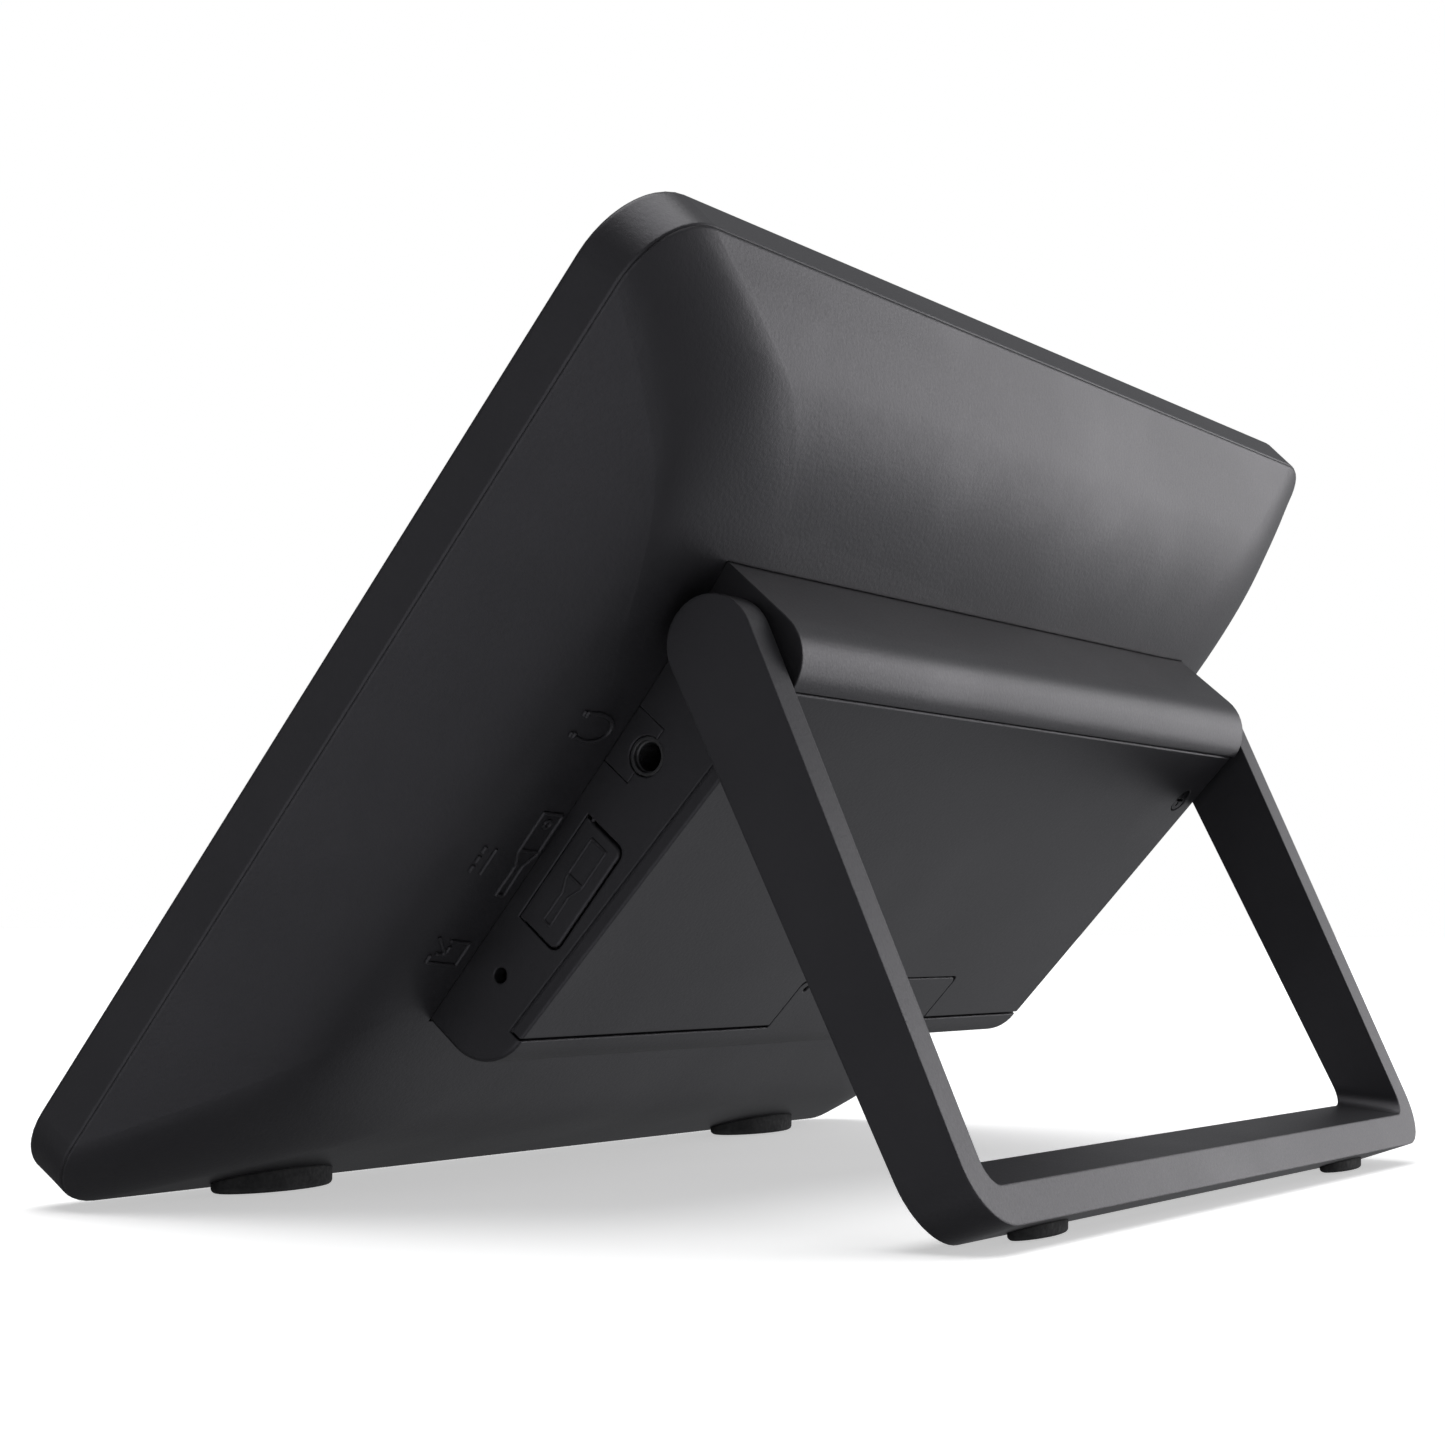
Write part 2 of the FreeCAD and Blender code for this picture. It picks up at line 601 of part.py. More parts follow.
def jack_insert():
    """Tab that closes the slot the jack is dropped through."""
    inner = HOUSING_X - HOUSING_WALL
    tab = box(inner, HOUSING_X - 0.05, HOUSING_FOOT_Y + FLANGE_T + 3.0, JACK_Y - 0.1, INSERT_Z0 + 0.1, INSERT_Z1 - 0.1)
    return tab.cut(rod_x(inner - 1, HOUSING_X + 1, JACK_Y, JACK_Z, JACK_NOSE_R + 0.1))


def power_inlet():
    """Rectangular low-voltage socket: a metal shell with a thin contact tongue along its rear wall."""
    front = HOUSING_X - FLAP_RECESS
    depth = 9.0
    y0, y1 = INLET_Y - 2.7, INLET_Y + 2.7
    z0, z1 = INLET_Z - 5.2, INLET_Z + 5.2
    shell = box(front - depth, front, y0, y1, z0, z1)
    shell = shell.cut(box(front - depth + 1.2, front + 1, y0 + 0.35, y1 - 0.35, z0 + 0.35, z1 - 0.35))
    tongue = box(front - depth + 1.0, front - 1.0, y1 - 0.35 - 0.45, y1 - 0.2, INLET_Z - 3.6, INLET_Z + 3.6)
    stand = box(front - depth, front - 1.6, BOARD_Y1, y0 + 0.2, z0 + 0.6, z1 - 0.6)
    return fused(shell, tongue, stand)


def port_cover():
    """Flap over the power inlet: a plate with a short heel in front of its hinge line and two stub pins."""
    x0, x1 = HOUSING_X - FLAP_T, HOUSING_X
    z0, z1 = FLAP_Z0 + FLAP_GAP, FLAP_Z1 - FLAP_WIDE_GAP
    y1 = FLAP_Y1 - FLAP_WIDE_GAP
    plate = box(x0, x1, FLAP_AXIS_Y, y1, z0, z1)
    corners = [e for e in plate.Edges if is_rear_corner(e, y1)]
    plate = plate.makeFillet(1.2, corners)
    outer_rim = [e for e in plate.Edges if min(v.Point.x for v in e.Vertexes) > x1 - 1e-6]
    outer_rim = [e for e in outer_rim if max(v.Point.y for v in e.Vertexes) > FLAP_AXIS_Y + 1e-6]
    outer_rim = [e for e in outer_rim if min(v.Point.z for v in e.Vertexes) > z0 + 1e-6]
    plate = plate.makeChamfer(0.2, outer_rim)
    heel = box(x0, x1, FLAP_AXIS_Y - FLAP_HEEL, FLAP_AXIS_Y, z0, z1)
    heel = heel.common(rod_z(z0, z1, FLAP_AXIS_X, FLAP_AXIS_Y, FLAP_SWING_R))
    pins = rod_z(FLAP_Z0 - 0.9, FLAP_Z1 + 0.9, FLAP_AXIS_X, FLAP_AXIS_Y, FLAP_PIN_R)
    flap = plate.fuse(heel).removeSplitter()
    return flap.fuse(pins).removeSplitter()


def reset_switch():
    inner = HOUSING_X - HOUSING_WALL
    body = box(inner - 5.0, inner - 1.2, BOARD_Y1, BOARD_Y1 + 5.4, RESET_Z - 3.0, RESET_Z + 3.0)
    return body.cut(rod_x(inner - 3.4, inner + 1, RESET_Y, RESET_Z, 0.9 + FIT))


def reset_button():
    inner = HOUSING_X - HOUSING_WALL
    return rod_x(inner - 2.9, inner - 0.3, RESET_Y, RESET_Z, 0.9)


def card_reader():
    """Open-ended card cage behind the slot in the housing's other side."""
    inner = HOUSING_X - HOUSING_WALL
    cage = box(-inner + 0.1, -inner + 27.0, BOARD_Y1, 27.8, 56.8, 83.8)
    return cage.cut(box(-inner - 1, -inner + 25.5, 24.6, 27.0, 58.1, 82.5))


# ---- board and what it carries ----
def main_board():
    board = box(-BOARD_X, BOARD_X, BOARD_Y0, BOARD_Y1, BOARD_Z0, BOARD_Z1)
    for x, z in BOARD_SCREWS:
        board = board.cut(rod_y(BOARD_Y0 - 1, BOARD_Y1 + 1, x, z, 1.15))
    return board


def board_screws():
    return joined([screw_y(x, z, BOARD_Y0, 1.9, 1.1, 0.88, 5.0, 1) for x, z in BOARD_SCREWS])


def shield_can():
    can = box(-19.0, 15.0, BOARD_Y1, BOARD_Y1 + 3.0, 62.0, 86.0)
    return can.cut(box(-18.7, 14.7, BOARD_Y1 - 1, BOARD_Y1 + 2.7, 62.3, 85.7))


def board_chips():
    top = BOARD_Y1
    return joined([
        box(-9.0, 5.0, top, top + 1.4, 67.0, 81.0),
        box(-17.0, -11.0, top, top + 1.1, 68.0, 80.0),
        box(20.0, 32.0, top, top + 1.2, 64.0, 73.0),
        box(20.0, 26.0, top, top + 1.5, 77.0, 83.0),
    ])


def power_parts():
    """Inductors and capacitors of the supply, near the inlet."""
    top = BOARD_Y1
    shapes = [box(47.0, 53.0, top, top + 3.0, 66.0, 72.0), box(47.0, 53.0, top, top + 3.0, 76.0, 82.0)]
    for z in (56.0, 62.0):
        shapes.append(rod_y(top, top + 5.2, 44.0, z, 2.5))
        shapes.append(rod_y(top, top + 5.2, 37.0, z, 2.5))
    return joined(shapes)


def clock_cell():
    return rod_y(BOARD_Y1, BOARD_Y1 + 2.2, -30.0, 92.0, 5.0)


def speakers():
    """Two small box speakers with round cones facing the back."""
    shapes = []
    for x0, x1, z0, z1 in ((-67.0, -61.0, 85.4, 92.0), (8.0, 34.0, 88.0, 97.5)):
        cabinet = box(x0, x1, BOARD_Y1, 28.6, z0, z1)
        reach = min(x1 - x0, z1 - z0) / 2.0 - 0.8
        cone = rod_y(27.8, 29.0, (x0 + x1) / 2.0, (z0 + z1) / 2.0, reach)
        shapes.append(cabinet.cut(cone))
    return joined(shapes)


def display_flex():
    """Flat ribbon from the display through the chassis slot up to the board."""
    t = 0.25
    points = [
        (8.2, 40.8), (12.0, 40.8), (21.55, 56.0), (21.55, 62.0),
        (21.55 + t, 62.0), (21.55 + t, 56.0 - t), (12.1, 40.8 - t), (8.2, 40.8 - t),
    ]
    return side_prism(points, -18.0, 18.0)


def remote_receiver():
    """Infrared receiver on a small board behind the glass border."""
    x, z = RECEIVER_X, RECEIVER_Z
    board = box(x - 3.2, x + 3.2, 4.6, 5.4, z - 5.0, z + 5.0)
    sensor = box(x - 2.2, x + 2.2, LEDGE_BACK, 4.6, z - 2.6, z + 2.6)
    return board.fuse(sensor).removeSplitter()


# ---- hinge ----
def hinge_side(maker):
    return both_sides(maker())


def hinge_pin():
    pin = rod_x(55.8, ARM_X0 + 2.6, PIVOT_Y, PIVOT_Z, PIN_R)
    groove = tube_x(57.0, 57.9, PIVOT_Y, PIVOT_Z, PIN_R + 1, PIN_R - 0.5)
    return pin.cut(groove)


def hinge_washer():
    return tube_x(HOUSING_X + 0.05, ARM_X0, PIVOT_Y, PIVOT_Z, 5.2, PIN_R + 0.02)


def hinge_bush():
    sleeve = tube_x(59.4, HOUSING_X - HOUSING_WALL - 0.2, PIVOT_Y, PIVOT_Z, 3.9, PIN_R + FIT)
    collar = tube_x(62.6, 64.2, PIVOT_Y, PIVOT_Z, 5.0, PIN_R + FIT)
    return sleeve.fuse(collar).removeSplitter()


def hinge_bracket():
    cheek = box(61.2, 62.6, 18.0, 33.2, 102.6, 112.8)
    cheek = cheek.cut(rod_x(60.0, 64.0, PIVOT_Y, PIVOT_Z, 3.9))
    foot = box(49.6, 62.0, 18.0, 19.2, 102.6, 112.8)
    bracket = cheek.fuse(foot).removeSplitter()
    for z in (105.0, 110.4):
        bracket = bracket.cut(rod_y(17.0, 20.0, 53.2, z, 1.15))
    return bracket


def bracket_screws():
    return joined([screw_y(side * 53.2, z, 18.0, 1.9, 1.1, 0.88, 5.0, 1) for side in (-1, 1) for z in (105.0, 110.4)])


def spring_washer():
    return tube_x(57.95, 59.4, PIVOT_Y, PIVOT_Z, 4.4, PIN_R + 0.2)


def pin_clip():
    ring = tube_x(57.0, 57.9, PIVOT_Y, PIVOT_Z, 4.0, PIN_R - 0.5)
    return ring.cut(box(56.0, 59.0, PIVOT_Y - 1.0, PIVOT_Y + 1.0, PIVOT_Z, PIVOT_Z + 6.0))


# ---- stand ----
def tangent_point(point, side):
    """Where a line from point touches the round top end of an arm; side picks the front or rear edge."""
    dy = point[0] - PIVOT_Y
    dz = point[1] - PIVOT_Z
    reach = math.hypot(dy, dz)
    base = math.atan2(dz, dy)
    spread = math.acos(PIVOT_R / reach)
    angle = base + side * spread
    return (PIVOT_Y + PIVOT_R * math.cos(angle), PIVOT_Z + PIVOT_R * math.sin(angle))


def toward(point, target, distance):
    """The point at a distance from point on the way to target."""
    dy = target[0] - point[0]
    dz = target[1] - point[1]
    scale = distance / math.hypot(dy, dz)
    return (point[0] + dy * scale, point[1] + dz * scale)


def bar_top():
    """Front and rear upper corners of the crossbar's section, on the arms' front and rear edges."""
    front = toward(BAR_FRONT_LOW, tangent_point(BAR_FRONT_LOW, -1), BAR_FRONT_HEIGHT)
    rear = toward(BAR_REAR_LOW, tangent_point(BAR_REAR_LOW, 1), BAR_REAR_HEIGHT)
    return front, rear


def arm():
    front = tangent_point(BAR_FRONT_LOW, -1)
    rear = tangent_point(BAR_REAR_LOW, 1)
    blade = side_prism([front, BAR_FRONT_LOW, BAR_REAR_LOW, rear], ARM_X0, ARM_X1)
    return blade.fuse(rod_x(ARM_X0, ARM_X1, PIVOT_Y, PIVOT_Z, PIVOT_R)).removeSplitter()


def stand_frame():
    right = arm()
    front_top, rear_top = bar_top()
    bar = side_prism([front_top, BAR_FRONT_LOW, BAR_REAR_LOW, rear_top], -ARM_X1, ARM_X1)
    frame = right.fuse(mirrored(right)).fuse(bar).removeSplitter()
    outer = [e for e in frame.Edges if is_corner_edge(e, ARM_X1, BAR_FRONT_LOW, BAR_REAR_LOW)]
    frame = frame.makeFillet(OUTER_CORNER_R, outer)
    inner = [e for e in frame.Edges if is_corner_edge(e, ARM_X0, front_top, rear_top)]
    frame = frame.makeFillet(INNER_CORNER_R, inner)
    for side in (-1, 1):
        x0, x1 = sorted((side * (ARM_X0 - 1), side * (ARM_X0 + 2.65)))
        frame = frame.cut(rod_x(x0, x1, PIVOT_Y, PIVOT_Z, PIN_R))
    return frame


def is_corner_edge(edge, x, low, high):
    """An edge at side position x that runs between two (y, z) points of the crossbar's section."""
    a = edge.Vertexes[0].Point
    b = edge.Vertexes[-1].Point
    if abs(abs(a.x) - x) > 1e-4 or abs(abs(b.x) - x) > 1e-4:
        return False
    ends = sorted(((a.y, a.z), (b.y, b.z)))
    wanted = sorted((low, high))
    return all(math.dist(e, w) < 0.9 for e, w in zip(ends, wanted))


# ---- feet, built on the table after the rest is leaned back ----
def oval_post(x, y, half_length, half_width, height, round_r):
    """Upright elliptical post on the table, lying along X, with a rounded lower rim."""
    outline = Part.Ellipse(V(x, y, 0), half_length, half_width)
    post = Part.Face(Part.Wire(outline.toShape())).extrude(V(0, 0, height))
    rim = [e for e in post.Edges if max(v.Point.z for v in e.Vertexes) < 1e-6]
    return post.makeFillet(round_r, rim)


def table_y(y, z):
    return y * COS_LEAN + z * SIN_LEAN - FOOTPRINT_MIDDLE


def slab_feet(leaned_dome, leaned_band):
    shapes = []
    for x in (-62.0, 62.0):
        post = oval_post(x, table_y(FOOT_Y, FOOT_Z), 11.0, 4.9, 7.0, 0.7)
        shapes.append(post.cut(leaned_dome).cut(leaned_band))
    return joined([keep_lowest(s) for s in shapes])


def keep_lowest(shape):
    return min(shape.Solids, key=lambda solid: solid.BoundBox.ZMin)


def stand_feet(leaned_stand):
    middle_y = (BAR_FRONT_LOW[0] + BAR_REAR_LOW[0]) / 2.0
    middle_z = (BAR_FRONT_LOW[1] + BAR_REAR_LOW[1]) / 2.0
    shapes = []
    for x in (-52.0, 52.0):
        post = oval_post(x, table_y(middle_y, middle_z) - 1.6, 7.0, 2.1, 4.5, 0.5)
        shapes.append(keep_lowest(post.cut(leaned_stand)))
    return joined(shapes)


def export(name, shape):
    shape.exportStep(os.path.join("parts", name + ".step"))
    solids = shape.Solids
    volume = sum(s.Volume for s in solids)
    print("%-18s solids %d volume %.1f valid %s" % (name, len(solids), volume, shape.isValid()))


def main():
    os.makedirs("parts", exist_ok=True)
    upright = {
        "front_frame": front_frame(),
        "front_glass": front_glass(),
        "glass_tape": glass_tape(),
        "display_cell": display_cell(),
        "optical_sheets": optical_sheets(),
        "light_guide": light_guide(),
        "led_bar": led_bar(),
        "backlight_tray": backlight_tray(),
        "chassis_plate": chassis_plate(),
        "chassis_screws": chassis_screws(),
        "rear_cover": rear_cover(),
        "module_housing": module_housing(),
        "housing_screws": housing_screws(),
        "cover_plate": cover_plate(),
        "cover_screw": cover_screw(),
        "headphone_jack": headphone_jack(),
        "jack_insert": jack_insert(),
        "power_inlet": power_inlet(),
        "port_cover": port_cover(),
        "reset_switch": reset_switch(),
        "reset_button": reset_button(),
        "card_reader": card_reader(),
        "main_board": main_board(),
        "board_screws": board_screws(),
        "shield_can": shield_can(),
        "board_chips": board_chips(),
        "power_parts": power_parts(),
        "clock_cell": clock_cell(),
        "speakers": speakers(),
        "display_flex": display_flex(),
        "remote_receiver": remote_receiver(),
        "hinge_pins": hinge_side(hinge_pin),
        "hinge_washers": hinge_side(hinge_washer),
        "hinge_bushes": hinge_side(hinge_bush),
        "hinge_brackets": hinge_side(hinge_bracket),
        "bracket_screws": bracket_screws(),
        "spring_washers": hinge_side(spring_washer),
        "pin_clips": hinge_side(pin_clip),
        "stand_frame": stand_frame(),
    }
    leaned = {name: place(shape) for name, shape in upright.items()}
    leaned["slab_feet"] = slab_feet(place(outer_dome()), leaned["front_frame"])
    leaned["stand_feet"] = stand_feet(leaned["stand_frame"])
    for name, shape in leaned.items():
        export(name, shape)
    whole = joined(list(leaned.values()))
    print(whole.BoundBox)


main()
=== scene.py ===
import json
import math
import bpy
import bmesh
from mathutils import Matrix, Vector
from mathutils.bvhtree import BVHTree


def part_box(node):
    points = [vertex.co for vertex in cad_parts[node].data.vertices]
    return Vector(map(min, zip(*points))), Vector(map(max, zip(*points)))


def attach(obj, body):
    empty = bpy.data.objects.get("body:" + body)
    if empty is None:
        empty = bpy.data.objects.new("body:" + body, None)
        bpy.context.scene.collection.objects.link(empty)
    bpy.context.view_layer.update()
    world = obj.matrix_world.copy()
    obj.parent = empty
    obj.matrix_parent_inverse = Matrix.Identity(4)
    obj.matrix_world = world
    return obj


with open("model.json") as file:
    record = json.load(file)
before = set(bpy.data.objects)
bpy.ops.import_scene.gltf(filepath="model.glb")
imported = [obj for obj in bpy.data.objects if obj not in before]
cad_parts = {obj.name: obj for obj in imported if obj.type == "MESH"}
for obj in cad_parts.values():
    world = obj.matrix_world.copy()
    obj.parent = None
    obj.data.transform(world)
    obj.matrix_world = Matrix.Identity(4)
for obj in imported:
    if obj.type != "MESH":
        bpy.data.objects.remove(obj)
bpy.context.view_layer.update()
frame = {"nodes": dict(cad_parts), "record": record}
NODES = frame["nodes"]

MM = 0.001

# The slab's own axes: X across, "out" from the screen to the rear, "up" the slab from its lower edge.
LEAN = math.radians(39.6)
LIFT = 4.176
SET_BACK = 63.63
OUT = Vector((0.0, math.cos(LEAN), -math.sin(LEAN)))
UP = Vector((0.0, math.sin(LEAN), math.cos(LEAN)))
ACROSS = Vector((1.0, 0.0, 0.0))
ORIGIN = Vector((0.0, -SET_BACK * MM, LIFT * MM))
SLAB_MIDDLE = 75.0
BEHIND_SLAB = 60.0


def slab(x, out, up):
    """World point of slab coordinates in millimetres."""
    return ORIGIN + (ACROSS * x + OUT * out + UP * up) * MM


# ---------------------------------------------------------------- materials
CHARCOAL = (0.0100, 0.0100, 0.0114)
CHARCOAL_LIGHT = (0.0128, 0.0126, 0.0142)
MOULDED_RIM = 0.00035
# half width and half height of the display's window in the black border, and the width of its soft edge
WINDOW_HALF_WIDTH = 0.0816
WINDOW_HALF_HEIGHT = 0.0613
WINDOW_EDGE = 0.0002


class Tree:
    """Builds a material's nodes on its object coordinates, in metres."""

    def __init__(self, name):
        self.material = bpy.data.materials.new(name)
        self.material.use_nodes = True
        self.nodes = self.material.node_tree.nodes
        self.links = self.material.node_tree.links
        self.shader = self.nodes["Principled BSDF"]
        self.coords = self.nodes.new("ShaderNodeTexCoord").outputs["Object"]

    def link(self, a, b):
        self.links.new(a, b)

    def noise(self, scale, detail=2.0, rough=0.5, coords=None):
        node = self.nodes.new("ShaderNodeTexNoise")
        node.inputs["Scale"].default_value = scale
        node.inputs["Detail"].default_value = detail
        node.inputs["Roughness"].default_value = rough
        self.link(coords or self.coords, node.inputs["Vector"])
        return node.outputs["Fac"]

    def mapped(self, value, low, high, out_low, out_high):
        node = self.nodes.new("ShaderNodeMapRange")
        node.inputs["From Min"].default_value = low
        node.inputs["From Max"].default_value = high
        node.inputs["To Min"].default_value = out_low
        node.inputs["To Max"].default_value = out_high
        self.link(value, node.inputs["Value"])
        return node.outputs["Result"]

    def math(self, kind, a, b):
        node = self.nodes.new("ShaderNodeMath")
        node.operation = kind
        for slot, value in zip(node.inputs, (a, b)):
            if isinstance(value, (int, float)):
                slot.default_value = value
            else:
                self.link(value, slot)
        return node.outputs[0]

    def mix(self, factor, a, b):
        node = self.nodes.new("ShaderNodeMix")
        node.data_type = "RGBA"
        self.link(factor, node.inputs["Factor"])
        for slot, value in ((node.inputs[6], a), (node.inputs[7], b)):
            if isinstance(value, tuple):
                slot.default_value = (*value, 1.0)
            else:
                self.link(value, slot)
        return node.outputs[2]

    def stretched(self, scale):
        node = self.nodes.new("ShaderNodeMapping")
        node.inputs["Scale"].default_value = scale
        self.link(self.coords, node.inputs["Vector"])
        return node.outputs["Vector"]

    def bevel(self, radius):
        node = self.nodes.new("ShaderNodeBevel")
        node.samples = 4
        node.inputs["Radius"].default_value = radius
        return node.outputs["Normal"]

    def edge_mask(self, rounded, start=0.985, end=0.90):
        """1 near sharp edges, 0 elsewhere."""
        geometry = self.nodes.new("ShaderNodeNewGeometry")
        dot = self.nodes.new("ShaderNodeVectorMath")
        dot.operation = "DOT_PRODUCT"
        self.link(rounded, dot.inputs[0])
        self.link(geometry.outputs["Normal"], dot.inputs[1])
        return self.mapped(dot.outputs["Value"], start, end, 0.0, 1.0)

    def bump(self, height, distance, strength, normal=None):
        node = self.nodes.new("ShaderNodeBump")
        node.inputs["Distance"].default_value = distance
        node.inputs["Strength"].default_value = strength
        self.link(height, node.inputs["Height"])
        if normal is not None:
            self.link(normal, node.inputs["Normal"])
        return node.outputs["Normal"]

    def set(self, **values):
        for name, value in values.items():
            socket = self.shader.inputs[name.replace("_", " ")]
            if isinstance(value, bpy.types.NodeSocket):
                self.link(value, socket)
            elif isinstance(value, tuple):
                socket.default_value = (*value, 1.0)
            else:
                socket.default_value = value


def moulded_plastic(name, dark, light, rough, grain=0.5, specular=0.5, gloss_tint=(1.0, 1.0, 1.0)):
    """Fine-textured moulded plastic: mottled tone, grain, handling marks and worn edges."""
    t = Tree(name)
    mottle = t.mapped(t.noise(70.0, 4.0, 0.6), 0.3, 0.7, 0.0, 1.0)
    tone = t.mix(mottle, dark, light)
    rounded = t.bevel(MOULDED_RIM)
    edge = t.edge_mask(rounded)
    scuffs = t.math("MULTIPLY", edge, t.mapped(t.noise(900.0, 3.0, 0.7), 0.35, 0.75, 0.25, 0.9))
    worn = tuple(min(1.0, 1.7 * c + 0.012) for c in light)
    tone = t.mix(scuffs, tone, worn)
    handled = t.mapped(t.noise(24.0, 3.0, 0.55), 0.45, 0.75, 0.0, -0.05)
    grain_noise = t.noise(4200.0, 2.0, 0.6)
    varied = t.math("ADD", t.mapped(grain_noise, 0.25, 0.75, rough - 0.04, rough + 0.04), handled)
    pores = t.noise(1700.0, 2.0, 0.5)
    height = t.math("ADD", t.math("MULTIPLY", grain_noise, 0.5), pores)
    normal = t.bump(height, 0.00004, grain, rounded)
    t.set(Base_Color=tone, Roughness=varied, Normal=normal,
          Specular_IOR_Level=specular, Specular_Tint=gloss_tint)
    return t.material


def charcoal_plastic(name, rough):
    """The object's dark grey shell plastic, whose gloss is faintly violet."""
    return moulded_plastic(name, CHARCOAL, CHARCOAL_LIGHT, rough, specular=0.53, gloss_tint=(0.95, 0.93, 1.0))


def rubber(name, dark, light):
    """Matt rubber with dust in its grain."""
    t = Tree(name)
    dust = t.mapped(t.noise(320.0, 5.0, 0.7), 0.42, 0.72, 0.0, 1.0)
    tone = t.mix(dust, dark, light)
    rounded = t.bevel(0.0004)
    ribs = t.noise(1400.0, 3.0, 0.6)
    t.set(Base_Color=tone, Roughness=t.mapped(ribs, 0.3, 0.7, 0.62, 0.82),
          Normal=t.bump(ribs, 0.00005, 0.6, rounded), Specular_IOR_Level=0.35)
    return t.material


def metal(name, dark, light, rough, stretch):
    """Metal with fine drawn or brushed lines along one axis."""
    t = Tree(name)
    lines = t.noise(1.0, 4.0, 0.65, t.stretched(stretch))
    cloud = t.mapped(t.noise(160.0, 3.0, 0.5), 0.3, 0.7, 0.0, 1.0)
    rounded = t.bevel(0.00015)
    t.set(Base_Color=t.mix(cloud, dark, light), Metallic=1.0,
          Roughness=t.mapped(lines, 0.3, 0.7, rough - 0.07, rough + 0.09),
          Normal=t.bump(lines, 0.00001, 0.35, rounded))
    return t.material


def glossy_plastic(name, dark, light, rough, transmission=0.0):
    """Smooth plastic or film with a slightly wavy surface."""
    t = Tree(name)
    cloud = t.mapped(t.noise(110.0, 3.0, 0.5), 0.3, 0.7, 0.0, 1.0)
    wavy = t.noise(600.0, 2.0, 0.5)
    t.set(Base_Color=t.mix(cloud, dark, light), Roughness=t.mapped(wavy, 0.3, 0.7, rough, rough + 0.08),
          Normal=t.bump(wavy, 0.00001, 0.25, t.bevel(0.0002)), Transmission_Weight=transmission)
    return t.material


def circuit_board(name):
    """Green solder mask over faint copper tracks."""
    t = Tree(name)
    tracks = t.nodes.new("ShaderNodeTexBrick")
    t.link(t.coords, tracks.inputs["Vector"])
    tracks.inputs["Scale"].default_value = 420.0
    tracks.inputs["Color1"].default_value = (0.012, 0.09, 0.045, 1.0)
    tracks.inputs["Color2"].default_value = (0.014, 0.115, 0.055, 1.0)
    tracks.inputs["Mortar"].default_value = (0.03, 0.17, 0.07, 1.0)
    cloud = t.noise(300.0, 3.0, 0.5)
    t.set(Base_Color=tracks.outputs["Color"], Roughness=t.mapped(cloud, 0.3, 0.7, 0.22, 0.42),
          Normal=t.bump(tracks.outputs["Fac"], 0.00003, 0.5))
    return t.material


def screen_glass(name):
    """Polished pane: black printed border round a slightly paler window, with faint finger marks."""
    t = Tree(name)
    split = t.nodes.new("ShaderNodeSeparateXYZ")
    t.link(t.coords, split.inputs[0])
    height = t.math("ADD", t.math("MULTIPLY", split.outputs["Y"], math.sin(LEAN)),
                    t.math("MULTIPLY", split.outputs["Z"], math.cos(LEAN)))
    middle = slab(0.0, 0.0, SLAB_MIDDLE).dot(UP)
    far_x = t.math("ABSOLUTE", split.outputs["X"], 0.0)
    far_v = t.math("ABSOLUTE", t.math("SUBTRACT", height, middle), 0.0)
    inside_x = t.mapped(far_x, WINDOW_HALF_WIDTH, WINDOW_HALF_WIDTH + WINDOW_EDGE, 1.0, 0.0)
    inside_v = t.mapped(far_v, WINDOW_HALF_HEIGHT, WINDOW_HALF_HEIGHT + WINDOW_EDGE, 1.0, 0.0)
    window = t.math("MULTIPLY", inside_x, inside_v)
    marks = t.mapped(t.noise(38.0, 5.0, 0.6), 0.5, 0.78, 0.0, 1.0)
    tone = t.mix(window, (0.0035, 0.0035, 0.004), (0.011, 0.012, 0.015))
    t.set(Base_Color=tone, Roughness=t.mapped(marks, 0.0, 1.0, 0.035, 0.13),
          Normal=t.bump(t.noise(12.0, 2.0, 0.4), 0.00002, 0.1), Coat_Weight=0.35, Coat_Roughness=0.03)
    return t.material


